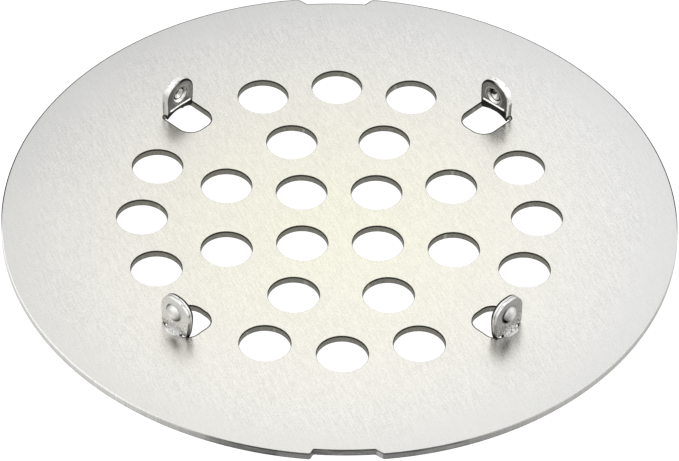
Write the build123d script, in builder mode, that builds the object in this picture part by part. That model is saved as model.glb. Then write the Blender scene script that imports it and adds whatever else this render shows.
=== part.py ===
from build123d import *
import math
import os

os.makedirs("parts", exist_ok=True)

# ---------------------------------------------------------------------------
# Snap-in floor drain grate, 4-1/4 in (107.95 mm) across, stamped from one
# stainless sheet.  Row frame: the finished face lies on z = 0 at the centre of
# the disc, +Z points to the tab side (the underside once fitted), +Y points to
# the rear pry notch, +X to the right.  All sizes in millimetres.
# ---------------------------------------------------------------------------

# --- driving dimensions ----------------------------------------------------
plate_d = 107.95            # outside diameter, 4-1/4 in
sheet_t = 1.30              # sheet thickness, about 18 gauge
edge_break = 0.12           # deburred outer rim

hole_d = 8.13               # drain holes, 0.32 in
ring_r = (8.50, 19.53, 31.53)          # pitch radii of the three hole rings
ring_start = ((45.0,), (22.5, 67.5), (0.0, 22.5, 67.5))   # each start angle repeats every 90 deg

notch_floor_r = 52.75       # radius of the floor of each pry notch
notch_half = 4.72           # half width of the notch floor
notch_mouth = 6.10          # half width of the mouth, at the rim
notch_shoulder = 2.40       # rounding where a notch's side meets the rim

tab_angles = {"snap_tab_rear_right": 45.0, "snap_tab_rear_left": 135.0,
              "snap_tab_front_left": 225.0, "snap_tab_front_right": 315.0}
tab_half = 2.87             # half width of a tab
tab_outer_r = 37.10         # radius of the outward face of an upright tab
tab_inner_r = tab_outer_r - sheet_t
tab_top = 6.35              # height of a tab over the tab side of the plate
tab_corner = 2.60           # rounding of the tab's free corners
bend_r = 0.80               # inside radius of the 90 deg bend
bend_centre_r = tab_outer_r + bend_r    # both bend surfaces are tangent to the plate here
bend_outer = bend_r + sheet_t
neck_half = 1.40            # half width of the bent neck between the two relief nicks
shoulder_z = 0.55           # underside of the tab's shoulders over the plate
root_r = 37.15              # outward end of the window and plane where neck meets plate

window_half = 3.10          # half width of the window that a tab was cut from
window_in_r = 30.55         # inward end of the window
window_corner = 2.50        # rounding of its inward corners
window_root_corner = 0.25   # rounding of its outward corners

dimple_z = 3.60             # height of a dimple's centre over the plate
dimple_base_r = 1.50        # bump on the outward face
dimple_h = 0.80
recess_base_r = 1.30        # recess on the inward face
recess_h = 0.85

# --- derived ---------------------------------------------------------------
plate_r = plate_d / 2
z_top = sheet_t                              # tab side of the plate
bend_z = z_top + bend_r                      # height of the bend's centre
# where the root plane cuts the two bend surfaces
root_dx = bend_centre_r - root_r
root_low_z = bend_z - math.sqrt(bend_outer ** 2 - root_dx ** 2)
root_high_z = bend_z - math.sqrt(bend_r ** 2 - root_dx ** 2)


def radial_plane(angle_deg):
    """Plane through the disc's axis: local x runs outward, local y runs up."""
    a = math.radians(angle_deg)
    return Plane(origin=(0, 0, 0), x_dir=(math.cos(a), math.sin(a), 0),
                 z_dir=(math.sin(a), -math.cos(a), 0))


def facing_plane(angle_deg, radius):
    """Plane square to a radius: local x runs tangentially, local y runs up,
    and its normal points outward."""
    a = math.radians(angle_deg)
    return Plane(origin=(radius * math.cos(a), radius * math.sin(a), 0),
                 x_dir=(-math.sin(a), math.cos(a), 0),
                 z_dir=(math.cos(a), math.sin(a), 0))


def flat_plane(angle_deg, height=0.0):
    """Horizontal plane with local x along a radius."""
    a = math.radians(angle_deg)
    return Plane(origin=(0, 0, height), x_dir=(math.cos(a), math.sin(a), 0),
                 z_dir=(0, 0, 1))


def arc_point(radius, angle_deg):
    a = math.radians(angle_deg)
    return (bend_centre_r + radius * math.cos(a), bend_z + radius * math.sin(a))


# Angles, round the bend's centre, of the root plane on the two bend surfaces.
root_low_deg = -math.degrees(math.acos(-root_dx / bend_outer))
root_high_deg = -math.degrees(math.acos(-root_dx / bend_r))

# ---------------------------------------------------------------------------
# cover_plate: the flat disc with its holes, windows, pry notches and the four
# roots of the bends
# ---------------------------------------------------------------------------
with BuildPart() as cover_plate:
    # Outline: the disc less its two pry notches.  Each notch has a floor
    # concentric with the rim and flared sides that run into the rim with a
    # soft shoulder.
    with BuildSketch(Plane.XY) as outline:
        Circle(plate_r)
        floor_y = math.sqrt(notch_floor_r ** 2 - notch_half ** 2)
        mouth_y = math.sqrt(plate_r ** 2 - notch_mouth ** 2)
        flare = (notch_mouth - notch_half) / (mouth_y - floor_y)
        out_y = plate_r + 1.5
        out_x = notch_half + flare * (out_y - floor_y)
        for side in (1, -1):
            with BuildLine():
                ThreePointArc((-notch_half, side * floor_y), (0, side * notch_floor_r),
                              (notch_half, side * floor_y))
                Polyline((notch_half, side * floor_y), (out_x, side * out_y),
                         (-out_x, side * out_y), (-notch_half, side * floor_y))
            make_face(mode=Mode.SUBTRACT)
        mouths = outline.vertices().filter_by(lambda v: abs(math.hypot(v.X, v.Y) - plate_r) < 0.01
                                              and abs(v.X) > 1 and abs(v.Y) > notch_floor_r)
        fillet(mouths, radius=notch_shoulder)
        floors = outline.vertices().filter_by(lambda v: abs(math.hypot(v.X, v.Y) - notch_floor_r) < 0.01)
        fillet(floors, radius=0.35)
    extrude(amount=sheet_t)
    rim_edges = cover_plate.edges().filter_by(Axis.Z, reverse=True)
    fillet(rim_edges, radius=edge_break)

    # Drain holes, three rings.
    with BuildSketch(Plane.XY):
        for radius, starts in zip(ring_r, ring_start):
            for start in starts:
                with PolarLocations(radius, 4, start_angle=start):
                    Circle(hole_d / 2)
    extrude(amount=sheet_t, mode=Mode.SUBTRACT)

    # Windows, one for each tab, ending outward at the root of the bend.
    for angle in tab_angles.values():
        with BuildSketch(flat_plane(angle)):
            with BuildLine():
                c_in = window_in_r + window_corner
                c_out = root_r - window_root_corner
                u_out = window_half - window_root_corner
                k_out = window_root_corner * math.sqrt(0.5)
                Line((c_in, -window_half), (c_out, -window_half))
                ThreePointArc((c_out, -window_half), (c_out + k_out, -u_out - k_out), (root_r, -u_out))
                Line((root_r, -u_out), (root_r, u_out))
                ThreePointArc((root_r, u_out), (c_out + k_out, u_out + k_out), (c_out, window_half))
                Line((c_out, window_half), (c_in, window_half))
                RadiusArc((c_in, window_half), (window_in_r, window_half - window_corner), -window_corner)
                Line((window_in_r, window_half - window_corner), (window_in_r, window_corner - window_half))
                RadiusArc((window_in_r, window_corner - window_half), (c_in, -window_half), -window_corner)
            make_face()
        extrude(amount=sheet_t, mode=Mode.SUBTRACT)
        # The neck's width of plate goes on to the bend's tangent line, where
        # the bend root takes its place.
        with BuildSketch(flat_plane(angle)):
            with BuildLine():
                Polyline((root_r - 0.5, -neck_half), (bend_centre_r, -neck_half),
                         (bend_centre_r, neck_half), (root_r - 0.5, neck_half), close=True)
            make_face()
        extrude(amount=sheet_t, mode=Mode.SUBTRACT)
        # Bend root: the first part of the bend, up to the root plane.
        with BuildSketch(radial_plane(angle)):
            with BuildLine():
                low_mid = 0.5 * (root_low_deg - 90)
                high_mid = 0.5 * (root_high_deg - 90)
                ThreePointArc(arc_point(bend_outer, -90), arc_point(bend_outer, low_mid),
                              (root_r, root_low_z))
                Line((root_r, root_low_z), (root_r, root_high_z))
                ThreePointArc((root_r, root_high_z), arc_point(bend_r, high_mid),
                              arc_point(bend_r, -90))
                Line(arc_point(bend_r, -90), arc_point(bend_outer, -90))
            make_face()
        extrude(amount=neck_half, both=True)

cover_plate.part.label = "cover_plate"
export_step(cover_plate.part, "parts/cover_plate.step")

# ---------------------------------------------------------------------------
# snap_tab_*: four upright spring tabs.  Each is a neck that finishes the bend,
# a tongue with rounded corners and a dimple pressed outward.
# ---------------------------------------------------------------------------
for tab_name, angle in tab_angles.items():
    with BuildPart() as snap_tab:
        # Neck and bend.
        with BuildSketch(radial_plane(angle)):
            with BuildLine():
                low_mid = 0.5 * (root_low_deg - 180)
                high_mid = 0.5 * (root_high_deg - 180)
                neck_top = bend_z + 1.0
                ThreePointArc((root_r, root_low_z), arc_point(bend_outer, low_mid),
                              arc_point(bend_outer, 180))
                Polyline(arc_point(bend_outer, 180), (tab_inner_r, neck_top),
                         (tab_outer_r, neck_top), arc_point(bend_r, 180))
                ThreePointArc(arc_point(bend_r, 180), arc_point(bend_r, high_mid),
                              (root_r, root_high_z))
                Line((root_r, root_high_z), (root_r, root_low_z))
            make_face()
        extrude(amount=neck_half, both=True)
        # Tongue.
        low = z_top + shoulder_z
        high = z_top + tab_top
        with BuildSketch(facing_plane(angle, tab_inner_r)):
            with BuildLine():
                Line((-tab_half, low), (tab_half, low))
                Line((tab_half, low), (tab_half, high - tab_corner))
                RadiusArc((tab_half, high - tab_corner), (tab_half - tab_corner, high), -tab_corner)
                Line((tab_half - tab_corner, high), (tab_corner - tab_half, high))
                RadiusArc((tab_corner - tab_half, high), (-tab_half, high - tab_corner), -tab_corner)
                Line((-tab_half, high - tab_corner), (-tab_half, low))
            make_face()
        extrude(amount=sheet_t)
        # Dimple: a bump outward and the recess behind it.
        bump_r = (dimple_base_r ** 2 + dimple_h ** 2) / (2 * dimple_h)
        with BuildSketch(radial_plane(angle)):
            with BuildLine():
                z_d = z_top + dimple_z
                tip = tab_outer_r + dimple_h
                half = 0.5 * math.asin(dimple_base_r / bump_r)
                Line((tab_outer_r - 0.3, z_d), (tip, z_d))
                ThreePointArc((tip, z_d),
                              (tip - bump_r * (1 - math.cos(half)), z_d + bump_r * math.sin(half)),
                              (tab_outer_r, z_d + dimple_base_r))
                Polyline((tab_outer_r, z_d + dimple_base_r), (tab_outer_r - 0.3, z_d + dimple_base_r),
                         (tab_outer_r - 0.3, z_d))
            make_face()
        a = math.radians(angle)
        dimple_axis = Axis(origin=(0, 0, z_d), direction=(math.cos(a), math.sin(a), 0))
        revolve(axis=dimple_axis, revolution_arc=360)
        cup_r = (recess_base_r ** 2 + recess_h ** 2) / (2 * recess_h)
        with BuildSketch(radial_plane(angle)):
            with BuildLine():
                deep = tab_inner_r + recess_h
                half = 0.5 * math.asin(recess_base_r / cup_r)
                Line((tab_inner_r - 0.5, z_d), (deep, z_d))
                ThreePointArc((deep, z_d),
                              (deep - cup_r * (1 - math.cos(half)), z_d + cup_r * math.sin(half)),
                              (tab_inner_r, z_d + recess_base_r))
                Polyline((tab_inner_r, z_d + recess_base_r), (tab_inner_r - 0.5, z_d + recess_base_r),
                         (tab_inner_r - 0.5, z_d))
            make_face()
        revolve(axis=dimple_axis, revolution_arc=360, mode=Mode.SUBTRACT)

    snap_tab.part.label = tab_name
    export_step(snap_tab.part, f"parts/{tab_name}.step")

print("root plane", root_r, "low", round(root_low_z, 4), "high", round(root_high_z, 4))
print("dimple tip circle", 2 * (tab_outer_r + dimple_h))
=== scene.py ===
import math
import bmesh
import bpy
import numpy as np
from mathutils import Matrix, Vector, geometry

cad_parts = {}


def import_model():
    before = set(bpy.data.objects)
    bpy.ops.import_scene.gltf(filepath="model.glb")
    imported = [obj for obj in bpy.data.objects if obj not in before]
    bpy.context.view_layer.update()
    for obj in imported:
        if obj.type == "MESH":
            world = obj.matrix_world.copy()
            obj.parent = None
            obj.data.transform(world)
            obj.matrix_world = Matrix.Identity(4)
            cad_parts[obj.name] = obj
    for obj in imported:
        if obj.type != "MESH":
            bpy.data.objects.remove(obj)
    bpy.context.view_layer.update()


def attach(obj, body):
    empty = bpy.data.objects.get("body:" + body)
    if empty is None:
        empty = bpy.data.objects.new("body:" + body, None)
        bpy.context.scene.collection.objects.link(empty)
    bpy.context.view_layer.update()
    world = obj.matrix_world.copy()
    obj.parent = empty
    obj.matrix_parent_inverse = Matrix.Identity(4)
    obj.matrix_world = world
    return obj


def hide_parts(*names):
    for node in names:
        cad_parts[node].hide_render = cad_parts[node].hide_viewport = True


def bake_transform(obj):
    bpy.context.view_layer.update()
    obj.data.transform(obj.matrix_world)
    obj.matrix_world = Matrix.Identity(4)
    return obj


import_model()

# ---------------------------------------------------------------------------
# Snap-in floor drain grate, one stamped stainless sheet, lying on its finished
# face.  Working units here are millimetres; meshes are written in metres.
# ---------------------------------------------------------------------------
MM = 0.001
T = 1.30                      # sheet thickness
PLATE_R = 53.975
HOLE_R = 4.065
RINGS = [(8.50, (45.0,)), (19.53, (22.5, 67.5)), (31.53, (0.0, 22.5, 67.5))]
ROOT_R = 37.20                # outward end of each window, unless its tab says otherwise
PATCH_R = 39.90               # each tab's mesh reaches out to here, flush with the plate
SEAM_U = 1.70                 # and to this half width

TABS = {
    # name: angle, body, half width, height over plate, outward face radius, window (u low, u high, inward end),
    # bend line (height over plate at the middle, slope along u), dimple centre u
    # the keys for tint, edge and face brightness, the dome, bend and dimple-ring factors, and the shade direction set
    # each tab's painted light and shade
    "snap_tab_rear_right": dict(root=37.38, ang=45.0, body="tab_rear_right", half=2.88, top=6.42, ro=37.12, win=(-3.05, 3.20, 30.35),
                                bend=(1.90, -0.045), foot=(0.8, 0.8), sh=0.15, tint=0.19, far=1.0, low=0.34, du=0.05, pit=(0.62, 0.22, 0.60), ring=2.3, edge=1.25),
    "snap_tab_rear_left": dict(root=37.36, ease=0.08, ang=135.0, body="tab_rear_left", half=2.90, top=6.28, ro=37.33, win=(-3.10, 3.10, 30.62),
                               bend=(1.36, 0.0), foot=(0.8, 0.8), sh=0.15, tint=0.26, far=-1.0, low=0.80, du=0.05, pit=(0.10, 0.12, 0.46), edge=1.05),
    "snap_tab_front_left": dict(ang=225.0, body="tab_front_left", half=2.95, top=6.40, ro=37.06, win=(-3.10, 3.08, 30.62),
                                bend=(1.50, 0.0), foot=(1.7, 1.36), sh=0.08, tint=0.27, bend_painted_light=0.62, face=1.03, dome_highlight=1.0, low=0.44, du=-0.10, pit=(0.0, 0.0, 0.40), taper_hi=0.42, shade=(0.62, -0.78)),
    "snap_tab_front_right": dict(ang=315.0, body="tab_front_right", half=2.97, top=6.27, ro=37.00, win=(-3.08, 3.12, 30.60),
                                 bend=(1.60, 0.0), foot=(1.7, 1.36), sh=0.08, tint=0.22, bend_painted_light=1.12, speck=4.2, deep=0.26, face=0.55, dome_highlight=1.75, low=0.58, du=-0.08, pit=(0.0, 0.0, 0.40), taper_lo=0.30, shade=(-0.76, -0.65)),
}


def rot(ang, rho, u):
    a = math.radians(ang)
    return np.array([rho * math.cos(a) - u * math.sin(a), rho * math.sin(a) + u * math.cos(a)])


# ---------------------------------------------------------------------------
# Plate: every edge loop is swept through a sheared-edge profile, and the two
# flat faces are triangulated between the loops.
# A loop is a list of (point, normal before, normal after, rounding factor);
# normals point out of the metal.
# ---------------------------------------------------------------------------
def circle_loop(cx, cy, r, n=104):
    out = []
    for k in range(n):
        t = 2 * math.pi * k / n
        d = np.array([math.cos(t), math.sin(t)])
        out.append((np.array([cx, cy]) + r * d, -d, -d, 1.0))
    return out


def notch_half_side(hf, hm, f, g, rf):
    """Right half of a notch at +Y, from the rim down to its floor's middle:
    points with normals, for x > 0."""
    A = np.array([hf, math.sqrt(rf ** 2 - hf ** 2)])
    B = np.array([hm, math.sqrt(PLATE_R ** 2 - hm ** 2)])
    t = (B - A) / np.linalg.norm(B - A)
    nv = np.array([-t[1], t[0]])

    def solve(off, rad):
        P = A + off * nv
        b = P @ t
        c = P @ P - rad ** 2
        s = -b + math.sqrt(b * b - c)
        return P + s * t
    C = solve(-f, PLATE_R - f)
    G = solve(g, rf + g)
    pts = []
    c_out = C * PLATE_R / (PLATE_R - f)
    a0 = math.atan2(*(c_out - C)[::-1])
    a1 = math.atan2(nv[1], nv[0])
    n = 14
    for k in range(n + 1):
        a = a0 + (a1 - a0) * k / n
        d = np.array([math.cos(a), math.sin(a)])
        pts.append((C + f * d, d, d, 1.0))
    g_in = G * rf / (rf + g)
    b0 = math.atan2(-nv[1], -nv[0])
    b1 = math.atan2(*(g_in - G)[::-1])
    while b1 > b0:
        b1 -= 2 * math.pi
    if b0 - b1 > math.pi:
        b1 += 2 * math.pi
    n = 8
    for k in range(n + 1):
        b = b0 + (b1 - b0) * k / n
        d = np.array([math.cos(b), math.sin(b)])
        pts.append((G + g * d, -d, -d, 1.0))
    th0 = math.atan2(*g_in[::-1])
    n = 14
    for k in range(1, n + 1):
        th = th0 + (math.pi / 2 - th0) * k / n
        d = np.array([math.cos(th), math.sin(th)])
        pts.append((rf * d, d, d, 1.0))
    return pts


def outer_loop():
    # each notch: (right side, left side) as seen in plan, +Y up
    rear_r = notch_half_side(4.95, 6.15, 1.0, 0.30, 52.66)
    rear_l = notch_half_side(4.60, 6.05, 1.4, 0.35, 52.66)
    front_r = notch_half_side(4.75, 6.05, 0.55, 0.25, 52.86)
    front_l = notch_half_side(4.72, 5.25, 0.42, 0.25, 52.86)

    def flip(pts, sx, sy):
        m = np.array([sx, sy])
        return [(p * m, a * m, b * m, w) for p, a, b, w in pts]
    loop = []

    def arc(t0, t1):
        n = max(2, int(abs(t1 - t0) / math.radians(0.6)))
        for k in range(1, n):
            t = t0 + (t1 - t0) * k / n
            d = np.array([math.cos(t), math.sin(t)])
            loop.append((PLATE_R * d, d, d, 1.0))
    top_r = flip(rear_r, 1, 1)
    top_l = flip(rear_l, -1, 1)[::-1]
    bot_l = flip(front_l, -1, -1)
    bot_r = flip(front_r, 1, -1)[::-1]

    def th(p):
        return math.atan2(p[0][1], p[0][0])
    loop.append((np.array([PLATE_R, 0.0]), np.array([1.0, 0]), np.array([1.0, 0]), 1.0))
    arc(0, th(top_r[0]))
    loop += top_r
    loop += top_l[1:]
    t0, t1 = th(top_l[-1]), th(bot_l[0])
    arc(t0, t1 if t1 > t0 else t1 + 2 * math.pi)
    loop += bot_l
    loop += bot_r[1:]
    t0 = th(bot_r[-1])
    arc(t0, 0.0)
    return loop


def window_loop(ang, u0, u1, rin, root, corner=2.5, foot=(0.8, 0.8)):
    """Window with its seam: runs clockwise round the hole in plan so that the
    metal lies on its left; built in (rho, u).  Its outward corners are rounded
    too, and between them the loop follows the seam with the tab's own mesh."""
    pts = []

    def add(rho, u, na, nb, w):
        pts.append((np.array([rho, u]), np.array(na, float), np.array(nb, float), w))

    def corner_arc(c, r, a0, a1, n, w=1.0):
        rr, ru = r if isinstance(r, tuple) else (r, r)
        for k in range(n + 1):
            a = a0 + (a1 - a0) * k / n
            d = np.array([math.cos(a) * ru, math.sin(a) * rr])
            d /= np.linalg.norm(d)
            q = np.array(c) + np.array([rr * math.cos(a), ru * math.sin(a)])
            add(q[0], q[1], -d, -d, w)
    fr, fu = foot

    def root_corner(sgn, ue):
        """From the seam's corner out to the window's side."""
        if fr < 1.0:
            return None
        P = [np.array(q) for q in ((root, sgn * (SEAM_U + 0.02)), (root - 0.42, sgn * (abs(ue) - 0.35)), (root - fr, ue))]
        out = []
        for k in range(15):
            v = k / 14
            q = (1 - v) ** 2 * P[0] + 2 * v * (1 - v) * P[1] + v * v * P[2]
            d = 2 * (1 - v) * (P[1] - P[0]) + 2 * v * (P[2] - P[1])
            nrm = np.array([-abs(d[1]), -sgn * abs(d[0])])
            out.append((q, nrm / np.linalg.norm(nrm)))
        return out
    add(PATCH_R, -SEAM_U, (-1, 0), (0, 1), 0.0)
    add(root, -SEAM_U, (0, 1), (-1, 0), 0.0)
    low = root_corner(-1, u0)
    if low:
        for q, nrm in low:
            add(q[0], q[1], nrm, nrm, 1.0)
    else:
        corner_arc((root - fr, u0 + fu), foot, 0.0, -math.pi / 2, 12)
    for rho in np.linspace(root - fr, rin + corner, 6)[1:-1]:
        add(rho, u0, (0, 1), (0, 1), 1.0)
    corner_arc((rin + corner, u0 + corner), corner, -math.pi / 2, -math.pi, 18)
    corner_arc((rin + corner, u1 - corner), corner, math.pi, math.pi / 2, 18)
    for rho in np.linspace(rin + corner, root - fr, 6)[1:-1]:
        add(rho, u1, (0, -1), (0, -1), 1.0)
    high = root_corner(1, u1)
    if high:
        for q, nrm in high[::-1]:
            add(q[0], q[1], nrm, nrm, 1.0)
    else:
        corner_arc((root - fr, u1 - fu), foot, math.pi / 2, 0.0, 12)
    add(root, SEAM_U, (-1, 0), (0, -1), 0.0)
    add(PATCH_R, SEAM_U, (0, -1), (-1, 0), 0.0)
    a = math.radians(ang)
    m = np.array([[math.cos(a), -math.sin(a)], [math.sin(a), math.cos(a)]])
    return [(m @ p, m @ na, m @ nb, w) for p, na, nb, w in pts]


def profile(r_bot, r_top, taper=0.0, brk=0.62, n=6):
    """Levels from the finished face up to the tab side: (depth into the
    metal, z, normal z part, normal outward part)."""
    lv = []
    for k in range(n + 1):
        a = math.pi / 2 * (1 - k / n)
        lv.append((r_bot * (1 - math.cos(a)), r_bot * (1 - math.sin(a)), -math.sin(a), math.cos(a)))
    zs = T - r_top
    for z in (brk * T * 0.5, brk * T):
        lv.append((0.0, z, 0.0, 1.0))
    sl = taper / max(zs - brk * T, 1e-6)
    q = math.hypot(1, sl)
    for k in range(n + 1):
        a = math.pi / 2 * k / n
        lv.append((taper + r_top * (1 - math.cos(a)), zs + r_top * math.sin(a), math.sin(a), math.cos(a)))
    return lv


class Builder:
    def __init__(self):
        self.v, self.key, self.f, self.n, self.m = [], {}, [], [], []

    def vert(self, p):
        k = (round(p[0], 5), round(p[1], 5), round(p[2], 5))
        if k not in self.key:
            self.key[k] = len(self.v)
            self.v.append(k)
        return self.key[k]

    def face(self, pts, nrm, mat):
        ids = [self.vert(p) for p in pts]
        keep, kn = [], []
        for i, k in enumerate(ids):
            if k not in keep:
                keep.append(k)
                kn.append(nrm[i])
        if len(keep) < 3:
            return
        self.f.append(keep)
        self.n.append(kn)
        self.m.append(mat)

    def make(self, name, mats):
        me = bpy.data.meshes.new(name)
        me.from_pydata([(x * MM, y * MM, z * MM) for x, y, z in self.v], [], self.f)
        for mt in mats:
            me.materials.append(mt)
        me.polygons.foreach_set("material_index", self.m)
        me.polygons.foreach_set("use_smooth", [True] * len(self.f))
        me.normals_split_custom_set([tuple(map(float, c)) for fn in self.n for c in fn])
        me.update()
        ob = bpy.data.objects.new(name, me)
        bpy.context.scene.collection.objects.link(ob)
        return ob


def sweep(b, loop, lv, wall=2, rolled=False):
    """Adds the swept wall; returns the ring of points on the finished face and
    the one on the tab side."""
    n = len(loop)
    rings = []
    for (p, na, nb, w) in loop:
        mit = (na + nb) / (1 + na @ nb)
        col = []
        # edges that look backwards are rolled over further
        away = max(0.0, float((na + nb)[1]) * 0.5)
        roll = 1.0 + (0.55 if wall == 3 else 1.6) * away ** 0.5 if rolled else 1.0
        for d, z, nz, no in lv:
            if nz > 0 and w > 0.5:
                d = d * roll
            if w < 0.5:
                zz = 0.0 if z < T * 0.3 and nz < 0 else (T if nz > 0 else z)
                col.append((p[0], p[1], min(max(zz, 0.0), T)))
            else:
                q = p - mit * d
                col.append((q[0], q[1], z))
        rings.append(col)
    for i in range(n):
        j = (i + 1) % n
        nb = loop[i][2]
        na = loop[j][1]
        for k in range(len(lv) - 1):
            l0, l1 = lv[k], lv[k + 1]

            def N(v, l):
                q = np.array([v[0] * l[3], v[1] * l[3], l[2]])
                return q / np.linalg.norm(q)
            rounding = (abs(l0[2]) > 1e-6 and abs(l1[2]) >= 0) or abs(l1[2]) > 1e-6
            mat = wall
            back_edge = rolled and l1[2] > 0 and nb[1] > -0.12
            if rounding and min(abs(l0[2]), abs(l1[2])) > 0.93 and not back_edge:
                mat = 0 if l1[2] > 0 else 1
            b.face([rings[i][k], rings[j][k], rings[j][k + 1], rings[i][k + 1]],
                   [N(nb, l0), N(na, l0), N(na, l1), N(nb, l1)], mat)
    return [c[0] for c in rings], [c[-1] for c in rings]


def inside(px, py, poly):
    """Even-odd test of many points against one closed ring."""
    res = np.zeros(len(px), bool)
    x, y = poly[:, 0], poly[:, 1]
    x2, y2 = np.roll(x, -1), np.roll(y, -1)
    for a, c, d, e in zip(x, y, x2, y2):
        if c != e:
            hit = ((c > py) != (e > py)) & (px < (d - a) * (py - c) / (e - c) + a)
            res ^= hit
    return res


def cap(b, loops, z, up, mat):
    verts, edges = [], []
    for lp in loops:
        s = len(verts)
        seq = []
        for p in lp:
            q = (round(p[0], 5), round(p[1], 5))
            if not seq or q != seq[-1]:
                seq.append(q)
        if seq[0] == seq[-1]:
            seq.pop()
        verts += [Vector(q) for q in seq]
        edges += [(s + i, s + (i + 1) % len(seq)) for i in range(len(seq))]
    res = geometry.delaunay_2d_cdt(verts, edges, [], 2, 1e-7)
    vs, fs = res[0], res[2]
    nz = (0, 0, 1.0 if up else -1.0)
    mx = np.array([sum(vs[i].x for i in f) / len(f) for f in fs])
    my = np.array([sum(vs[i].y for i in f) / len(f) for f in fs])
    void = np.zeros(len(fs), bool)
    for lp in loops[1:]:
        void |= inside(mx, my, np.array([q[:2] for q in lp]))
    for f, gone in zip(fs, void):
        if gone:
            continue
        a = [vs[i] for i in f]
        ar = (a[1].x - a[0].x) * (a[2].y - a[0].y) - (a[1].y - a[0].y) * (a[2].x - a[0].x)
        if (ar < 0) == up:
            a = a[::-1]
        b.face([(v.x, v.y, z) for v in a], [nz] * len(a), mat)


def make_plate(mats):
    b = Builder()
    outer = outer_loop()
    lv_rim = profile(0.20, 0.17, 0.0)
    lv_hole = profile(0.16, 0.09, 0.035)
    lv_window = profile(0.16, 0.10, 0.02)
    lo, hi = sweep(b, outer, lv_rim, 3, rolled=True)
    los, his = [lo], [hi]
    for r, starts in RINGS:
        for s in starts:
            for k in range(4):
                a = math.radians(s + 90 * k)
                # clockwise, so that the metal is on the left
                lp = circle_loop(r * math.cos(a), r * math.sin(a), HOLE_R)[::-1]
                lo, hi = sweep(b, lp, lv_hole)
                los.append(lo)
                his.append(hi)
    for t in TABS.values():
        lp = window_loop(t["ang"], *t["win"], t.get("root", ROOT_R), foot=t["foot"])
        lo, hi = sweep(b, lp, lv_window, rolled=True)
        los.append(lo)
        his.append(hi)
    cap(b, los, 0.0, False, 1)
    cap(b, his, T, True, 0)
    return b.make("cover_plate_steel", mats)


# ---------------------------------------------------------------------------
# Tabs: a distance field of the bent tongue, turned into a mesh whose points
# are pulled onto the field's zero and whose normals are the field's gradient.
# ---------------------------------------------------------------------------
def smin(a, b, k):
    h = np.maximum(k - np.abs(a - b), 0) / k
    return np.minimum(a, b) - h * h * k * 0.25


def smax(a, b, k):
    return -smin(-a, -b, k)


def round_max(a, b, r):
    """Intersection with a rounded edge of radius r."""
    return np.minimum(np.maximum(a, b), -r) + np.hypot(np.maximum(a + r, 0), np.maximum(b + r, 0))


def corner_region(rho, z, r0, z0, rad):
    """Distance to the quarter space rho > r0, z > z0 with its corner rounded."""
    qx = r0 + rad - rho
    qy = z0 + rad - z
    return np.minimum(np.maximum(qx, qy), 0) + np.hypot(np.maximum(qx, 0), np.maximum(qy, 0)) - rad


def table(points, sigma):
    """Smoothed height table over the distance from a dimple's axis."""
    x = np.arange(-4, 4.0001, 0.005)
    y = np.interp(np.abs(x), [p[0] for p in points], [p[1] for p in points])
    k = np.arange(-40, 41) * 0.005
    w = np.exp(-0.5 * (k / sigma) ** 2)
    y = np.convolve(y, w / w.sum(), mode="same")
    keep = (x >= 0) & (x <= 3.5)
    return x[keep], y[keep]


BUMP = table([(0, 0.84), (0.3, 0.82), (0.6, 0.75), (0.9, 0.62), (1.15, 0.44), (1.36, 0.21), (1.48, 0.0), (4, 0)], 0.035)
CUP = table([(0, 0.86), (0.15, 0.82), (0.55, 0.58), (0.80, 0.41), (0.92, 0.33), (0.99, 0.48), (1.06, 0.50), (1.12, 0.36),
             (1.44, 0.03), (1.52, -0.035), (1.66, -0.05), (1.80, 0.0), (4, 0)], 0.028)
PIT = table([(0, 1.0), (0.75, 0.96), (1.0, 0.0), (4, 0)], 0.03)


def fields(U, R, Z, t):
    ro, top, half = t["ro"], T + t["top"], t["half"]
    ri = ro - T
    zc = T + t.get("dz", 3.60)
    du = t["du"]
    s = np.hypot(U - du, Z - zc)
    h = np.interp(s, *BUMP)
    pu, pz, pr = t["pit"]
    g = np.interp(s, *CUP) + 0.30 * np.interp(np.hypot(U - du - pu, Z - zc - pz) / pr, *PIT)
    a = np.abs(U)
    # shallow crease pressed in along the bend line
    zl = T + t["bend"][0] + t["bend"][1] * U
    g = g + 0.15 * np.exp(-((Z - zl) / 0.15) ** 2) / (1 + np.exp((a - 2.35) / 0.06))
    g = np.where(R < ro, g, 0.0)
    Rv = 1.6 + 1.5 * np.clip(1 - (a / 2.9) ** 2, 0, 1)
    rv = 0.12 + 1.13 * np.clip(1 - (a / 1.85) ** 3, 0, 1)
    inner = corner_region(R - g, Z, ri, 0.0, Rv)
    outer = -corner_region(R - h, Z, ro, T, rv)
    # tongue: rounded top; its foot is a cut square to the sheet part way round the bend
    foot = np.clip(1 - (Z - T) / 3.4, 0, 1)
    w = half - np.where(U > 0, t.get("taper_hi", 0.12), t.get("taper_lo", 0.12)) * foot ** 1.5
    zb = T + t.get("sh", 0.24) + 0.9 * (R - ro)
    cz = 0.5 * (top + T)
    rt = np.where(Z > cz, t.get("corner", 2.60), t.get("shoulder_r", 0.38))
    qx = a - w + rt
    qz = np.where(Z > cz, Z - top, (zb - Z) * 0.743) + rt
    tongue = np.minimum(np.maximum(qx, qz), 0) + np.hypot(np.maximum(qx, 0), np.maximum(qz, 0)) - rt
    neck = np.maximum(a - 1.42, Z - 4.0)
    line = smin(tongue, neck, 0.22)
    return inner, outer, line


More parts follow.
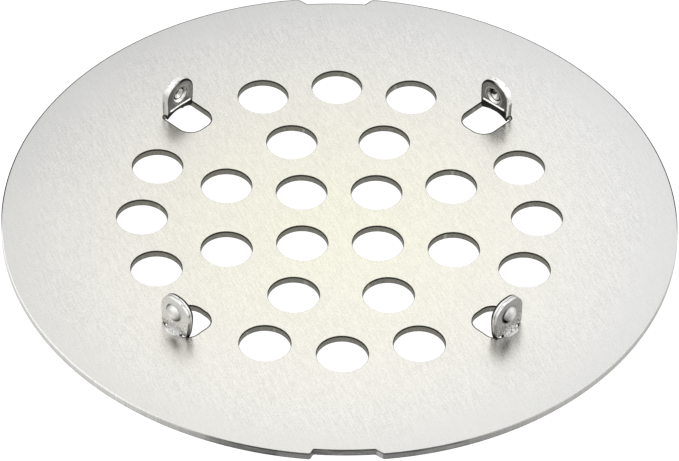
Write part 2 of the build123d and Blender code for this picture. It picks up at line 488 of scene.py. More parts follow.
def tab_field(U, R, Z, t):
    inner, outer, line = fields(U, R, Z, t)
    ei, eo = t.get("edge_in", 0.22), t.get("edge_out", 0.09)
    bent = np.maximum(round_max(inner, line, ei), round_max(outer, line, eo))
    # flush patch of plate beside the neck
    a = np.abs(U)
    end = t.get("root", ROOT_R) + t.get("ease", 0.0) * np.clip((SEAM_U - a) / 0.40, 0, 1) ** 1.5 - R
    # beside the neck its lower edge is drawn up into the bend
    draw = 0.16 + 0.95 * np.clip((SEAM_U - a) / 0.36, 0, 1) ** 1.3
    slab = np.maximum(round_max(-Z, end, draw), round_max(Z - T, end, 0.10))
    flat = np.maximum(slab, np.maximum(1.20 - a, a - SEAM_U - 0.6))
    k = 0.36 * np.clip((T - 0.35 - Z) / 0.5, 0, 1) + 1e-6
    return np.maximum(np.maximum(smin(bent, flat, k), -Z), R - PATCH_R - 0.2)


def surface_net(func, lo, hi, h):
    ax = [np.arange(a, b + h, h) for a, b in zip(lo, hi)]
    G = np.meshgrid(*ax, indexing="ij")
    F = func(*G)
    S = F < 0
    nx, ny, nz = F.shape
    acc = np.zeros((nx - 1, ny - 1, nz - 1, 3))
    cnt = np.zeros((nx - 1, ny - 1, nz - 1))
    quads = []
    for d in range(3):
        sl0 = [slice(None)] * 3
        sl1 = [slice(None)] * 3
        sl0[d] = slice(0, -1)
        sl1[d] = slice(1, None)
        f0, f1 = F[tuple(sl0)], F[tuple(sl1)]
        cr = (f0 < 0) != (f1 < 0)
        I = np.argwhere(cr)
        t = (f0[cr] / (f0[cr] - f1[cr]))
        P = I.astype(float)
        P[:, d] += t
        e1, e2 = [k for k in range(3) if k != d]
        ok = np.ones(len(I), bool)
        cells = []
        for o1, o2 in ((0, 0), (-1, 0), (-1, -1), (0, -1)):
            c = I.copy()
            c[:, e1] += o1
            c[:, e2] += o2
            good = np.all((c >= 0) & (c < np.array([nx - 1, ny - 1, nz - 1])), axis=1)
            cells.append(c)
            cc = c[good]
            np.add.at(acc, (cc[:, 0], cc[:, 1], cc[:, 2]), P[good])
            np.add.at(cnt, (cc[:, 0], cc[:, 1], cc[:, 2]), 1)
            ok &= good
        q = np.stack([c[ok] for c in cells], 1)
        inside_first = (f0[cr] < 0)[ok]
        rev = inside_first if d != 1 else ~inside_first
        q[rev] = q[rev][:, ::-1]
        quads.append(q)
    used = cnt > 0
    idx = -np.ones(cnt.shape, int)
    idx[used] = np.arange(used.sum())
    V = acc[used] / cnt[used][:, None]
    V = V * h + np.array(lo)
    Q = np.concatenate(quads)
    Q = idx[Q[..., 0], Q[..., 1], Q[..., 2]]

    def grad(V):
        e = 0.01
        g = np.empty_like(V)
        for k in range(3):
            d = np.zeros(3)
            d[k] = e
            g[:, k] = (func(*(V + d).T) - func(*(V - d).T)) / (2 * e)
        return g
    for _ in range(3):
        g = grad(V)
        f = func(*V.T)
        step = (f / np.maximum((g * g).sum(1), 0.25))[:, None] * g
        ln = np.linalg.norm(step, axis=1, keepdims=True)
        step *= np.minimum(1, h * 0.5 / np.maximum(ln, 1e-9))
        V = V - step
    return V, Q, grad


def make_tab(name, t, mats):
    func = lambda U, R, Z: tab_field(U, R, Z, t)
    h = 0.085
    lo = (-3.25, t["ro"] - T - 0.42, -0.35)
    hi = (3.25, PATCH_R + 0.45, T + t["top"] + 0.3)
    V, Q, grad = surface_net(func, lo, hi, h)
    bm = bmesh.new()
    vs = [bm.verts.new(p) for p in V]
    for q in Q:
        try:
            bm.faces.new([vs[i] for i in q])
        except ValueError:
            pass
    bm.normal_update()
    for co, no in (((SEAM_U, 0, 0), (1, 0, 0)), ((-SEAM_U, 0, 0), (-1, 0, 0)), ((0, PATCH_R, 0), (0, 1, 0))):
        fs = [f for f in bm.faces if all(v.co.y > 36.85 and v.co.z < T + 0.12 for v in f.verts)
              or (no[1] > 0.5 and all(v.co.y > 38.4 and v.co.z < T + 0.3 for v in f.verts))]
        es = list({e for f in fs for e in f.edges})
        vv = list({v for f in fs for v in f.verts})
        r = bmesh.ops.bisect_plane(bm, geom=vv + es + fs, dist=1e-5, plane_co=co, plane_no=no, clear_outer=True)
        cut = [e for e in r["geom_cut"] if isinstance(e, bmesh.types.BMEdge)]
        bmesh.ops.holes_fill(bm, edges=cut, sides=0)
    bm.normal_update()
    bm.verts.ensure_lookup_table()
    bm.verts.index_update()
    P = np.array([v.co[:] for v in bm.verts])
    g = grad(P)
    g /= np.maximum(np.linalg.norm(g, axis=1, keepdims=True), 1e-9)
    # snap the flush faces exactly level with the plate
    up = (np.abs(P[:, 2] - T) < 0.01) & (g[:, 2] > 0.995)
    P[up, 2] = T
    g[up] = (0, 0, 1)
    dn = (np.abs(P[:, 2]) < 0.01) & (g[:, 2] < -0.995)
    P[dn, 2] = 0.0
    g[dn] = (0, 0, -1)
    a = math.radians(t["ang"])
    ca, sa = math.cos(a), math.sin(a)

    def world(W):
        return np.c_[W[:, 1] * ca - W[:, 0] * sa, W[:, 1] * sa + W[:, 0] * ca, W[:, 2]]
    WP, WG = world(P), world(g)
    faces, normals, mids, flat = [], [], [], []
    for f in bm.faces:
        ids = [v.index for v in f.verts]
        faces.append(ids)
        mids.append(np.mean(P[ids], axis=0))
        fn = f.normal
        side = (abs(fn.x) > 0.999 and abs(abs(mids[-1][0]) - SEAM_U) < 1e-3) or \
               (fn.y > 0.999 and abs(mids[-1][1] - PATCH_R) < 1e-3)
        flat.append(side)
        if side:
            w = world(np.array([fn[:]]))[0]
            normals += [tuple(w)] * len(ids)
        else:
            normals += [tuple(WG[i]) for i in ids]
    mids = np.array(mids)
    inner, outer, line = fields(mids[:, 0], mids[:, 1], mids[:, 2], t)
    sheet = np.maximum(inner, outer)
    mat = np.where(line > sheet + 0.03, 2, np.where(inner > outer, 1, 0))
    zone = mids[:, 1] > t.get("root", ROOT_R) - 0.05
    low = zone & (mids[:, 2] < T + 0.05)
    top_flat = low & (mids[:, 2] > T - 0.02)
    mat[top_flat] = 3
    mat[(mids[:, 1] > ROOT_R + 0.6) & (mids[:, 2] < 0.02)] = 4
    mat[np.array(flat)] = 2
    bm.free()
    me = bpy.data.meshes.new(name + "_steel")
    # the basis (u, rho, z) is left-handed, so the faces are turned over
    me.from_pydata([tuple(p * MM) for p in WP], [], faces)
    for mt in mats:
        me.materials.append(mt)
    me.polygons.foreach_set("material_index", [int(m) for m in mat])
    me.polygons.foreach_set("use_smooth", [True] * len(faces))
    me.normals_split_custom_set([tuple(map(float, c)) for c in normals])
    me.update()
    ob = bpy.data.objects.new(name + "_steel", me)
    bpy.context.scene.collection.objects.link(ob)
    return ob


# ---------------------------------------------------------------------------
# Materials
# ---------------------------------------------------------------------------
class Nodes:
    def __init__(self, tree):
        self.t = tree
        self.x = 0

    def new(self, kind, **kw):
        n = self.t.nodes.new(kind)
        self.x += 40
        n.location = (self.x, 0)
        for k, v in kw.items():
            setattr(n, k, v)
        return n

    def link(self, a, b):
        self.t.links.new(a, b)

    def val(self, sock, v):
        if isinstance(v, bpy.types.NodeSocket):
            self.link(v, sock)
        else:
            sock.default_value = v

    def math(self, op, a, b=None, c=None, clamp=False):
        n = self.new("ShaderNodeMath", operation=op, use_clamp=clamp)
        self.val(n.inputs[0], a)
        if b is not None:
            self.val(n.inputs[1], b)
        if c is not None:
            self.val(n.inputs[2], c)
        return n.outputs[0]

    def maprange(self, v, a, b, c, d, smooth=False, clamp=True):
        n = self.new("ShaderNodeMapRange", interpolation_type="SMOOTHSTEP" if smooth else "LINEAR", clamp=clamp)
        self.val(n.inputs["Value"], v)
        for k, q in zip(("From Min", "From Max", "To Min", "To Max"), (a, b, c, d)):
            self.val(n.inputs[k], q)
        return n.outputs["Result"]

    def noise(self, vec, scale, detail=2.0, rough=0.5, lac=2.0, dist=0.0):
        n = self.new("ShaderNodeTexNoise", noise_dimensions="3D")
        self.link(vec, n.inputs["Vector"])
        n.inputs["Scale"].default_value = scale
        n.inputs["Detail"].default_value = detail
        n.inputs["Roughness"].default_value = rough
        n.inputs["Lacunarity"].default_value = lac
        n.inputs["Distortion"].default_value = dist
        return n.outputs["Fac"]

    def mapping(self, vec, rotz, scale, loc=(0, 0, 0)):
        n = self.new("ShaderNodeMapping", vector_type="POINT")
        self.link(vec, n.inputs["Vector"])
        r = self.new("ShaderNodeMapping", vector_type="POINT")
        n.inputs["Rotation"].default_value = (0, 0, rotz)
        r.inputs["Scale"].default_value = scale
        r.inputs["Location"].default_value = loc
        self.link(n.outputs[0], r.inputs["Vector"])
        return r.outputs[0]

    def mix(self, f, a, b, blend="MIX"):
        n = self.new("ShaderNodeMix", data_type="RGBA", blend_type=blend)
        self.val(n.inputs[0], f)
        self.val(n.inputs[6], a)
        self.val(n.inputs[7], b)
        return n.outputs[2]


def material(name):
    m = bpy.data.materials.new(name)
    m.use_nodes = True
    m.node_tree.nodes.clear()
    k = Nodes(m.node_tree)
    out = k.new("ShaderNodeOutputMaterial")
    bsdf = k.new("ShaderNodeBsdfPrincipled")
    k.link(bsdf.outputs[0], out.inputs["Surface"])
    tc = k.new("ShaderNodeTexCoord")
    return m, k, bsdf, tc.outputs["Object"]


BRUSH = math.radians(-110.0)      # turns the brush direction, 110 deg from +X, onto local x


def poly(k, x, y, c):
    """c0 + c1 x + c2 y + c3 xx + c4 yy + c5 xy + c6 rr^2"""
    xx = k.math("MULTIPLY", x, x)
    yy = k.math("MULTIPLY", y, y)
    rr = k.math("ADD", xx, yy)
    out = k.math("ADD", k.math("MULTIPLY", x, c[1]), c[0])
    for term, q in ((y, c[2]), (xx, c[3]), (yy, c[4]), (k.math("MULTIPLY", x, y), c[5]), (k.math("MULTIPLY", rr, rr), c[6])):
        out = k.math("MULTIPLY_ADD", term, q, out)
    return out


def sheet_finish(name, tint, rough, bump_d, contrast, light_falloff_c=(1, 0, 0, 0, 0, 0, 0), warm_reflection_blue_c=(1, 0, 0, 0, 0, 0, 0),
                 warm_reflection_red_c=(1, 0, 0, 0, 0, 0, 0), grain=0.5, cloud=0.05, hook=None):
    """Rolled and brushed sheet face: long fine lines, short grain between
    them, random cloudy tone, and over the disc a painted light falloff
    with a painted warm reflection towards the centre."""
    m, k, bsdf, obj = material(name)
    fine = k.noise(k.mapping(obj, BRUSH, (420, 6000, 6000)), 1.0, 2.0, 0.6)
    broad = k.noise(k.mapping(obj, BRUSH, (90, 1900, 1900), (3.1, 0.7, 0)), 1.0, 2.0, 0.55)
    grit = k.noise(obj, 3600.0, 2.0, 0.7)
    blotch = k.noise(obj, 55.0, 3.0, 0.55)
    lines = k.math("ADD", k.math("MULTIPLY", fine, 0.86), k.math("MULTIPLY", broad, 0.14))
    tex = k.math("ADD", k.math("MULTIPLY", lines, 1.0 - grain), k.math("MULTIPLY", grit, grain))
    sep = k.new("ShaderNodeSeparateXYZ")
    k.link(obj, sep.inputs[0])
    x = k.math("MULTIPLY", sep.outputs[0], 1000.0 / 54.0)
    y = k.math("MULTIPLY", sep.outputs[1], 1000.0 / 54.0)
    # painted light: brightness falls off over the disc as the lights lie; the cloudy tone added next is random
    tone = poly(k, x, y, light_falloff_c)
    tone = k.math("ADD", tone, k.math("MULTIPLY", k.math("SUBTRACT", blotch, 0.5), cloud))
    r2 = k.math("ADD", k.math("MULTIPLY", x, x), k.math("MULTIPLY", y, y))
    calm = k.maprange(k.math("ADD", r2, k.math("MULTIPLY", k.math("SUBTRACT", blotch, 0.5), 0.3)), 0.72, 0.90, 1.0, 0.35, smooth=True)
    vary = k.math("MULTIPLY", k.math("MINIMUM", k.math("MAXIMUM", k.math("SUBTRACT", tex, 0.5), -0.085), 0.10), calm)
    tone = k.math("ADD", tone, k.math("MULTIPLY", vary, contrast))
    if hook:
        # the hook gives this face's painted light and shade, multiplied into its colour
        shade = hook(k, obj)
        tone = k.math("MULTIPLY", tone, shade)
        # where the painted shade is deepest the surface is dull, not mirror-like
        k.link(k.maprange(shade, 0.04, 0.22, 0.0, 1.0, smooth=True), bsdf.inputs["Metallic"])
        bsdf.inputs["Specular IOR Level"].default_value = 0.0
    else:
        bsdf.inputs["Metallic"].default_value = 1.0
    # painted warm reflection: the colour drifts warmer towards the centre of the disc
    col = k.new("ShaderNodeCombineXYZ")
    k.link(k.math("MULTIPLY", poly(k, x, y, warm_reflection_red_c), tint[0]), col.inputs[0])
    col.inputs[1].default_value = tint[1]
    k.link(k.math("MULTIPLY", poly(k, x, y, warm_reflection_blue_c), tint[2]), col.inputs[2])
    vm = k.new("ShaderNodeVectorMath", operation="SCALE")
    k.link(col.outputs[0], vm.inputs[0])
    k.link(tone, vm.inputs["Scale"])
    k.link(vm.outputs[0], bsdf.inputs["Base Color"])
    rr = k.math("ADD", rough, k.math("MULTIPLY", k.math("SUBTRACT", tex, 0.5), 0.16))
    rr = k.math("ADD", rr, k.math("MULTIPLY", k.math("SUBTRACT", blotch, 0.5), 0.08), clamp=True)
    k.link(rr, bsdf.inputs["Roughness"])
    b = k.new("ShaderNodeBump")
    b.inputs["Strength"].default_value = 1.0
    b.inputs["Distance"].default_value = bump_d
    k.link(tex, b.inputs["Height"])
    k.link(b.outputs[0], bsdf.inputs["Normal"])
    return m


def sheared_edge(name, rim=False):
    """Punched edge: a burnished band next to the finished face, a thin dark
    break line under the tab side, fine drag marks and a few bright rubs."""
    m, k, bsdf, obj = material(name)
    sep = k.new("ShaderNodeSeparateXYZ")
    k.link(obj, sep.inputs[0])
    z = sep.outputs[2]
    drag = k.noise(k.mapping(obj, 0.0, (2600, 2600, 120)), 1.0, 2.0, 0.6)
    rub = k.noise(k.mapping(obj, 0.0, (420, 420, 60), (1.7, 0.2, 0)), 1.0, 1.0, 0.5)
    grit = k.noise(obj, 5200.0, 2.0, 0.65)
    edge = k.math("ADD", z, k.math("MULTIPLY", k.math("SUBTRACT", drag, 0.5), 0.00030))
    torn = k.maprange(edge, 0.00098 if rim else 0.00092, 0.00112 if rim else 0.00106, 0.0, 1.0, smooth=True)
    # heel: painted shade, darker towards the bottom edge where the wall meets the floor
    heel = k.maprange(edge, 0.00012, 0.00030, 1.0, 0.0, smooth=True)
    tone = k.math("ADD", 1.0, k.math("MULTIPLY", k.math("SUBTRACT", drag, 0.5), 0.35 if rim else 0.8))
    tone = k.math("ADD", tone, k.math("MULTIPLY", k.math("SUBTRACT", grit, 0.5), 0.15 if rim else 0.35))
    if rim:
        # rim: painted highlight round the flanks, where the side lights fall; the front is left dull
        ax = k.math("ABSOLUTE", k.math("MULTIPLY", sep.outputs[0], 1000.0 / 54.0))
        front = k.maprange(sep.outputs[1], -0.004, 0.004, 1.0, 0.0)
        flank_highlight = k.math("MULTIPLY", k.maprange(ax, 0.20, 0.72, 0.0, 1.0, smooth=True), front)
        # painted highlight on one flank of the front notch
        xm = k.math("MULTIPLY", sep.outputs[0], 1000.0)
        facet_highlight = k.math("MULTIPLY", k.maprange(xm, 4.85, 5.05, 0.0, 1.0), k.maprange(xm, 5.85, 6.0, 1.0, 0.0))
        facet_highlight = k.math("MULTIPLY", facet_highlight, k.maprange(sep.outputs[1], -0.050, -0.045, 0.55, 0.0))
        flank_highlight = k.math("MAXIMUM", flank_highlight, facet_highlight)
        # the left flank gets the stronger painted highlight
        flank_highlight_gain = k.maprange(xm, -5.0, 20.0, 2.1, 1.35, smooth=True)
        tone = k.math("MULTIPLY", tone, k.math("ADD", 1.0, k.math("MULTIPLY", flank_highlight, flank_highlight_gain)))
        # painted shade: the break line is darkest at the rear, dark at the front centre and faint round the lit flanks
        soft = k.math("MULTIPLY", k.maprange(ax, 0.22, 0.45, 0.30, 0.80), front)
        soft = k.math("ADD", soft, k.math("MULTIPLY", k.math("SUBTRACT", 1.0, front), 0.16))
        tone = k.math("MULTIPLY", tone, k.math("ADD", k.math("MULTIPLY", k.math("SUBTRACT", soft, 1.0), torn), 1.0))
        tone = k.math("MULTIPLY", tone, k.maprange(heel, 0.0, 1.0, 1.0, 0.32))
        # floor of the front notch: streaked, darker at its left end
        inn = k.math("MULTIPLY", k.maprange(sep.outputs[1], -0.05305, -0.0529, 0.0, 1.0), k.maprange(sep.outputs[1], -0.0500, -0.0495, 1.0, 0.0))
        smear = k.noise(k.mapping(obj, 0.0, (260, 260, 2400), (0.2, 0.9, 0)), 1.0, 2.0, 0.6)
        tone = k.math("MULTIPLY", tone, k.math("ADD", 1.0, k.math("MULTIPLY", inn, k.maprange(smear, 0.30, 0.68, -0.42, 0.30))))
        tone = k.math("MULTIPLY", tone, k.maprange(k.math("MULTIPLY", inn, k.maprange(xm, -4.6, -2.6, 1.0, 0.0)), 0.0, 1.0, 1.0, 0.72))
        # painted shade: a dark line where the rim rolls over at the rear and the sides
        roll = k.math("MULTIPLY", k.maprange(z, 0.00108, 0.00118, 0.0, 1.0), k.math("SUBTRACT", 1.0, front))
        tone = k.math("MULTIPLY", tone, k.maprange(roll, 0.0, 1.0, 1.0, 0.55))
    else:
        rubbed = k.maprange(rub, 0.64, 0.74, 0.0, 1.0, smooth=True)
        tone = k.math("MULTIPLY", tone, k.maprange(torn, 0.0, 1.0, 1.0, 0.13))
        tone = k.math("MULTIPLY", tone, k.maprange(heel, 0.0, 1.0, 1.0, 0.60))
        tone = k.math("ADD", tone, k.math("MULTIPLY", k.math("MULTIPLY", rubbed, k.math("SUBTRACT", 1.0, torn)), 0.8))
    vm = k.new("ShaderNodeVectorMath", operation="SCALE")
    # dark base colour: partly the sheared surface's own dull grey, partly painted shade for the dark the walls reflect
    vm.inputs[0].default_value = (0.300, 0.297, 0.288) if rim else (0.285, 0.280, 0.240)
    k.link(tone, vm.inputs["Scale"])
    k.link(vm.outputs[0], bsdf.inputs["Base Color"])
    k.link(k.maprange(torn, 0.0, 1.0, 1.0, 0.15), bsdf.inputs["Metallic"])
    bsdf.inputs["Specular IOR Level"].default_value = 0.0
    k.link(k.math("ADD", 0.38, k.math("MULTIPLY", torn, 0.14)), bsdf.inputs["Roughness"])
    b = k.new("ShaderNodeBump")
    b.inputs["Strength"].default_value = 1.0
    b.inputs["Distance"].default_value = 0.00002
    k.link(k.math("ADD", drag, k.math("MULTIPLY", grit, 0.5)), b.inputs["Height"])
    k.link(b.outputs[0], bsdf.inputs["Normal"])
    return m


def tab_frame(k, obj, t):
    """Millimetre coordinates of a tab: across it, outwards, up."""
    a = math.radians(t["ang"])
    out = []
    for d in ((-math.sin(a), math.cos(a), 0), (math.cos(a), math.sin(a), 0), (0, 0, 1)):
        n = k.new("ShaderNodeVectorMath", operation="DOT_PRODUCT")
        k.link(obj, n.inputs[0])
        n.inputs[1].default_value = [1000.0 * c for c in d]
        out.append(n.outputs["Value"])
    return out


def from_dimple(k, u, z, t, ou=0.0, oz=0.0):
    du = k.math("SUBTRACT", u, t["du"] + ou)
    dz = k.math("SUBTRACT", z, T + t.get("dz", 3.60) + oz)
    s = k.math("SQRT", k.math("ADD", k.math("MULTIPLY", du, du), k.math("MULTIPLY", dz, dz)))
    return s, du, dz


def ramp(k, v, points):
    """Piecewise linear table of tone against a length in millimetres."""
    span = points[-1][0]
    n = k.new("ShaderNodeValToRGB")
    el = n.color_ramp.elements
    while len(el) > 1:
        el.remove(el[-1])
    el[0].position = 0.0
    el[0].color = (points[0][1] / 4, points[0][1] / 4, points[0][1] / 4, 1)
    for p, q in points[1:]:
        e = el.new(p / span)
        e.color = (q / 4, q / 4, q / 4, 1)
    k.link(k.math("DIVIDE", v, span), n.inputs[0])
    sp = k.new("ShaderNodeSeparateXYZ")
    k.link(n.outputs[0], sp.inputs[0])
    return k.math("MULTIPLY", sp.outputs[0], 4.0)


def outline(k, u, z, t):
    """Distance inside the tongue's outline, negative inside."""
    r = 2.60
    qx = k.math("SUBTRACT", k.math("ABSOLUTE", u), t["half"] - r)
    qz = k.math("SUBTRACT", z, T + t["top"] - r)
    ax, az = k.math("MAXIMUM", qx, 0.0), k.math("MAXIMUM", qz, 0.0)
    ln = k.math("SQRT", k.math("ADD", k.math("MULTIPLY", ax, ax), k.math("MULTIPLY", az, az)))
    return k.math("SUBTRACT", k.math("ADD", ln, k.math("MINIMUM", k.math("MAXIMUM", qx, qz), 0.0)), r)


def far_side(k, u, t, near, far):
    """The painted shade on the rolled lip fades along one side of the rear tabs."""
    if "far" not in t:
        return 0.0 if far == 0.0 else far
    return k.maprange(k.math("MULTIPLY", u, t["far"]), -1.6, 0.6, near, far, smooth=True)


def inner_hook(t):
    def hook(k, obj):
        u, r, z = tab_frame(k, obj, t)
        s, du, dz = from_dimple(k, u, z, t)
        # painted highlight and shade of the recess: bright floor, dark ring, lit lower wall
        ring = ramp(k, s, [(0.0, 3.6), (0.86, 3.9), (0.93, 0.20), (1.08, 0.20), (1.14, 1.2), (1.40, 1.3), (1.46, 0.70),
                           (1.56, 1.0), (1.68, t.get("ring", 1.5)), (1.78, t.get("ring", 1.5)), (1.90, 1.0), (2.2, 1.0)])
        lit_lower_ring = k.maprange(dz, 0.3, -0.5, 0.0, 1.0, smooth=True)
        on_ring = k.math("MULTIPLY", k.maprange(s, 1.08, 1.14, 0.0, 1.0), k.maprange(s, 1.42, 1.48, 1.0, 0.0))
        ring = k.math("MULTIPLY", ring, k.math("ADD", k.math("MULTIPLY", k.math("MULTIPLY", lit_lower_ring, on_ring), 2.0), 0.85))
        # painted shade inside the punch mark
        p, _, _ = from_dimple(k, u, z, t, t["pit"][0], t["pit"][1])
        ring = k.math("MULTIPLY", ring, k.maprange(p, t["pit"][2] - 0.12, t["pit"][2], 0.10, 1.0))
        # painted highlight along the bend line, and painted shade under the bend
        zl = k.math("ADD", T + t["bend"][0], k.math("MULTIPLY", u, t["bend"][1]))
        d = k.math("SUBTRACT", z, zl)
        au = k.math("ABSOLUTE", u)
        line = k.math("MULTIPLY", k.maprange(k.math("ABSOLUTE", d), 0.17, 0.27, 1.0, 0.0, smooth=True), k.maprange(au, 2.2, 2.45, 1.0, 0.0))
        below = k.maprange(d, -0.22, -0.32, 1.0, 0.11, smooth=True)
        # past the bend the painted shade stops and the sheet is plain again
        past = k.maprange(r, t["ro"] + 0.2, t["ro"] + 1.2, 0.0, 1.0)
        below = k.math("MAXIMUM", below, past)
        f = k.math("MULTIPLY", k.math("ADD", 1.0, k.math("MULTIPLY", line, 1.15 / t["tint"] - 1.0)), below)
        # painted shade: a dark lip along the tongue's outline
        rim = k.maprange(outline(k, u, z, t), -0.38, -0.24, 1.0, 0.10 if "far" in t else 0.20, smooth=True)
        rim = k.math("MAXIMUM", rim, far_side(k, u, t, 0.80, 0.0))
        grime = k.maprange(k.noise(obj, 1500.0, 3.0, 0.6), 0.3, 0.7, 0.72, 1.18)
        f = k.math("MULTIPLY", k.math("MULTIPLY", f, rim), grime)
        return k.math("MULTIPLY", f, ring)
    return hook


def outer_hook(t):
    def hook(k, obj):
        u, r, z = tab_frame(k, obj, t)
        s, du, dz = from_dimple(k, u, z, t)
        face, dome_highlight = t.get("face", 1.0), t.get("dome_highlight", 1.0)
        # painted highlight on the dome
        body = ramp(k, s, [(0.0, 1.15 * dome_highlight), (0.9, dome_highlight), (1.34, 0.95 * dome_highlight), (1.46, 1.0), (2.0, 1.0)])
        # painted shade in the crease round the dome's base
        dome_crease_shade = ramp(k, s, [(0.0, 0.0), (1.38, 0.0), (1.44, 0.80), (1.62, 0.80), (1.74, 0.0), (2.0, 0.0)])
        dome_crease_shade = k.math("MULTIPLY", dome_crease_shade, k.maprange(k.math("ADD", du, k.math("MULTIPLY", dz, 0.45)), 0.25, -0.65, 0.25, 1.0, smooth=True))
        ring = k.math("MULTIPLY", body, k.math("SUBTRACT", 1.0, dome_crease_shade))
        # painted shade on the dome's lower side, away from the light
        q = t.get("shade", (0.0, -1.0))
        side = k.math("ADD", k.math("MULTIPLY", du, q[0]), k.math("MULTIPLY", dz, q[1]))
        dark = k.math("MULTIPLY", k.maprange(side, 0.25, 1.15, 0.0, 1.0, smooth=True), k.maprange(s, 1.42, 1.50, 1.0, 0.0))
        deep = k.math("MULTIPLY", k.maprange(side, 0.95, 1.20, 0.0, 1.0, smooth=True), k.maprange(s, 1.50, 1.62, 1.0, 0.0))
        dark = k.math("ADD", k.math("MULTIPLY", dark, 0.74), k.math("MULTIPLY", deep, t.get("deep", 0.10)))
        f = k.math("MULTIPLY", ring, k.math("SUBTRACT", 1.0, dark))
        # round the bend: painted shade on one front tab and painted light on the other; the face factor is each tab's
        # painted overall brightness; the stretched metal is speckled
        bend_painted_light = k.math("MULTIPLY", k.maprange(z, T + 0.4, T + 1.5, t.get("bend_painted_light", 0.8), 1.0, smooth=True), face)
        spot = k.math("SUBTRACT", k.noise(obj, 4200.0, 2.0, 0.6), 0.5)
        amount = k.maprange(z, T + 1.4, T + 3.4, t.get("speck", 2.6), 0.6, smooth=True)
        f = k.math("MULTIPLY", f, bend_painted_light)
        return k.math("MULTIPLY", f, k.math("ADD", 1.0, k.math("MULTIPLY", spot, amount)))
    return hook


def edge_hook(t):
    def hook(k, obj):
        u, r, z = tab_frame(k, obj, t)
        d = k.math("SUBTRACT", r, t["ro"] - T)
        wob = k.noise(obj, 900.0, 2.0, 0.5)
        dd = k.math("ADD", d, k.math("MULTIPLY", k.math("SUBTRACT", wob, 0.5), 0.35))
        # painted shade: a dark lip at the inner-face side of the edge band
        lip = k.maprange(d, 0.27, 0.34, 0.02, 1.0, smooth=True) if "far" in t else k.maprange(d, 0.34, 0.46, 0.04, 1.0, smooth=True)
        lip = k.math("MAXIMUM", lip, far_side(k, u, t, 0.9, 0.0))
        crack = k.math("ABSOLUTE", k.math("SUBTRACT", dd, 0.78))
        crack = k.maprange(crack, 0.04, 0.12, 0.92 if "far" in t else 0.42, 1.0, smooth=True)
        # painted shade at the foot, where the band meets the plate
        foot = k.maprange(z, T + 0.15, T + 0.65, 0.08, 1.0, smooth=True)
        under = k.maprange(z, T + 2.7, T + 3.5, 1.0, 0.0, smooth=True)
        outer = k.maprange(d, 0.45, 0.62, 0.0, 1.0, smooth=True)
        low = k.math("SUBTRACT", 1.0, k.math("MULTIPLY", k.math("MULTIPLY", under, outer), 1.0 - t["low"]))
        streak = k.math("MULTIPLY", k.maprange(k.math("ABSOLUTE", k.math("SUBTRACT", dd, 1.08)), 0.06, 0.16, 0.55, 0.0, smooth=True), under)
        rimline = k.math("MULTIPLY", k.maprange(d, 1.16, 1.22, 0.0, 0.6), k.maprange(z, T + 3.2, T + 4.6, 1.0, 0.0))
        chip = k.maprange(k.noise(k.mapping(obj, 0.0, (1500, 1500, 500), (0.4, 0.1, 0.2)), 1.0, 2.0, 0.6), 0.60, 0.68, 1.0, 0.45, smooth=True)
        f = k.math("MULTIPLY", k.math("MULTIPLY", lip, crack), k.math("MULTIPLY", foot, chip))
        f = k.math("MULTIPLY", f, k.math("MULTIPLY", low, k.math("SUBTRACT", 1.0, streak)))
        return k.math("MULTIPLY", f, k.math("SUBTRACT", 1.0, rimline))
    return hook


# coefficients over the disc: the painted light falloff, and the painted warm reflection in blue and red
PAINTED_LIGHT_FALLOFF = (1.072, 0.045, -0.073, -0.180, -0.174, 0.063, -0.028)
PAINTED_WARM_BLUE = (0.866, 0.011, 0.017, 0.258, 0.248, -0.006, -0.118)
PAINTED_WARM_RED = (1.003, -0.003, -0.003, -0.015, -0.014, -0.001, -0.005)
mat_tabside = sheet_finish("steel_tab_side", (0.636, 0.624, 0.613), 0.29, 0.0000040, 0.95, PAINTED_LIGHT_FALLOFF, PAINTED_WARM_BLUE, PAINTED_WARM_RED, cloud=0.04)
mat_finished = sheet_finish("steel_finished_face", (0.88, 0.875, 0.862), 0.24, 0.0000020, 0.12)
mat_edge = sheared_edge("sheared_hole_wall")
mat_rim = sheared_edge("sheared_rim", rim=True)

plate = make_plate([mat_tabside, mat_finished, mat_edge, mat_rim])
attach(plate, "plate")
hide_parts("cover_plate")

for name, t in TABS.items():
    short = name.replace("snap_tab_", "")
    # each tab has its own copies of the finishes: the inner faces' dark base is partly their glossier finish, partly
    # painted shade for the dark they reflect, and the per-tab inner tint and edge factors give lit and shaded copies
    mats = [
        sheet_finish("steel_outer_" + short, (0.66, 0.655, 0.645), 0.44, 0.000008, 0.30, hook=outer_hook(t)),
        sheet_finish("steel_inner_" + short, (t["tint"], t["tint"] * 0.99, t["tint"] * 0.955), 0.34, 0.000002, 0.20, grain=0.7,
                     hook=inner_hook(t)),
        sheet_finish("steel_edge_" + short, tuple(c * t.get("edge", 1.0) for c in (0.66, 0.655, 0.64)), 0.30, 0.000005, 0.30, grain=0.7, hook=edge_hook(t)),
        mat_tabside, mat_finished,
    ]
    ob = make_tab(name, t, mats)
    q = rot(t["ang"], 36.4, 0) * MM
    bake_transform(ob)
    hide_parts(name)

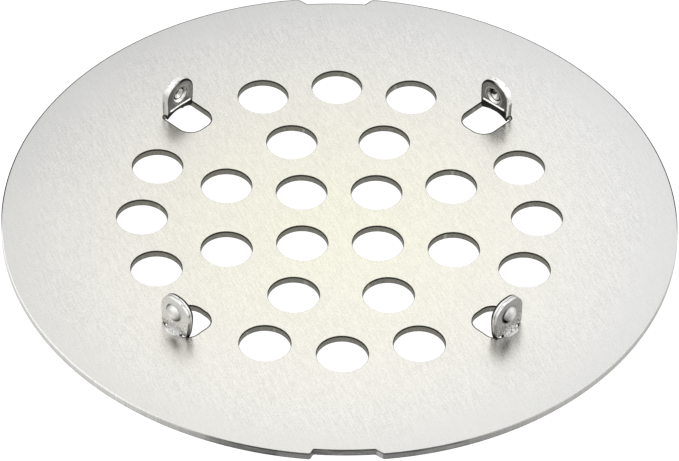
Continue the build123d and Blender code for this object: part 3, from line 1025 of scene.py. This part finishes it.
# ---------------------------------------------------------------------------
# Floor, light and camera
# ---------------------------------------------------------------------------
def floor():
    bm = bmesh.new()
    bmesh.ops.create_grid(bm, x_segments=2, y_segments=2, size=3.0)
    me = bpy.data.meshes.new("floor")
    bm.to_mesh(me)
    bm.free()
    ob = bpy.data.objects.new("floor", me)
    ob.location = (0, 0, -0.00005)
    bpy.context.scene.collection.objects.link(ob)
    m = bpy.data.materials.new("floor_white")
    m.use_nodes = True
    m.node_tree.nodes.clear()
    k = Nodes(m.node_tree)
    out = k.new("ShaderNodeOutputMaterial")
    em = k.new("ShaderNodeEmission")
    em.inputs["Color"].default_value = (1, 1, 1, 1)
    em.inputs["Strength"].default_value = 1.1
    # seen from below it is clear
    see = k.new("ShaderNodeBsdfTransparent")
    geo = k.new("ShaderNodeNewGeometry")
    pick = k.new("ShaderNodeMixShader")
    k.link(geo.outputs["Backfacing"], pick.inputs[0])
    k.link(em.outputs[0], pick.inputs[1])
    k.link(see.outputs[0], pick.inputs[2])
    k.link(pick.outputs[0], out.inputs["Surface"])
    me.materials.append(m)
    ob.visible_glossy = False
    ob.visible_diffuse = False
    ob.visible_shadow = False
    return ob


floor()

world = bpy.data.worlds.new("soft_studio")
bpy.context.scene.world = world
world.use_nodes = True
world.node_tree.nodes.clear()
k = Nodes(world.node_tree)
wo = k.new("ShaderNodeOutputWorld")
bg = k.new("ShaderNodeBackground")
k.link(bg.outputs[0], wo.inputs["Surface"])
tc = k.new("ShaderNodeTexCoord")
sep = k.new("ShaderNodeSeparateXYZ")
k.link(tc.outputs["Generated"], sep.inputs[0])
dx, dy, dz = sep.outputs


def lobe(direction, c0, c1, amount):
    """Soft light panel: full inside cosine c1, gone below cosine c0."""
    d = Vector(direction).normalized()
    n = k.new("ShaderNodeVectorMath", operation="DOT_PRODUCT")
    k.link(tc.outputs["Generated"], n.inputs[0])
    n.inputs[1].default_value = d
    return k.maprange(n.outputs["Value"], c0, c1, 0.0, amount, smooth=True)


parts = [
    k.maprange(dz, 0.0, 0.30, 0.60, 0.47, smooth=True),
    lobe((0.0, 0.10, 1.0), 0.45, 0.95, 0.30),           # overhead
    lobe((0.02, 0.735, 0.677), 0.45, 0.95, 0.66),       # back
    lobe((-0.735, -0.10, 0.68), 0.50, 0.92, 0.80),      # left
    lobe((-0.45, -0.70, 0.50), 0.60, 0.95, 0.40),       # front left
    lobe((0.70, -0.30, 0.60), 0.60, 0.95, 0.10),        # front right
    lobe((0.96, -0.05, 0.26), 0.80, 0.96, 0.95),        # low panel on the right
    lobe((0.0, -0.735, 0.677), 0.70, 0.96, 0.45),       # front
    lobe((0.72, 0.20, 0.68), 0.74, 0.96, 0.40),         # right
    k.maprange(dz, -0.98, -0.80, 0.70, 0.0, smooth=True),
]
lum = parts[0]
for q in parts[1:]:
    lum = k.math("ADD", lum, q)
bg.inputs["Color"].default_value = (1.0, 1.0, 0.995, 1)
k.link(lum, bg.inputs["Strength"])

cam = bpy.data.cameras.new("camera")
cam.sensor_width = 36.0
cam.lens = 36.0 * 6300.0 / 679.0
cam.clip_start = 0.01
cam.clip_end = 20.0
cam_ob = bpy.data.objects.new("camera", cam)
bpy.context.scene.collection.objects.link(cam_ob)
az, el, roll, D, tx, ty = -0.0296255, 0.7429586, 0.0232363, 1003.36, -0.0578, -3.0598
back = Vector((math.sin(az) * math.cos(el), -math.cos(az) * math.cos(el), math.sin(el)))
C = Vector((tx, ty, 0)) + back * D
right = (-back).cross(Vector((0, 0, 1))).normalized()
upv = right.cross(-back)
r2 = math.cos(roll) * right + math.sin(roll) * upv
u2 = -math.sin(roll) * right + math.cos(roll) * upv
M = Matrix((r2, u2, back)).transposed().to_4x4()
# picture centre to principal point: the shift works out to zero
cam.shift_x = (339.5 - 339.5) / 679.0
cam.shift_y = (230.0 - 230.0) / 679.0
M.translation = (C + Vector((0, 0, T))) * MM
cam_ob.matrix_world = M
bpy.context.scene.camera = cam_ob
bpy.context.scene.view_settings.view_transform = "Standard"
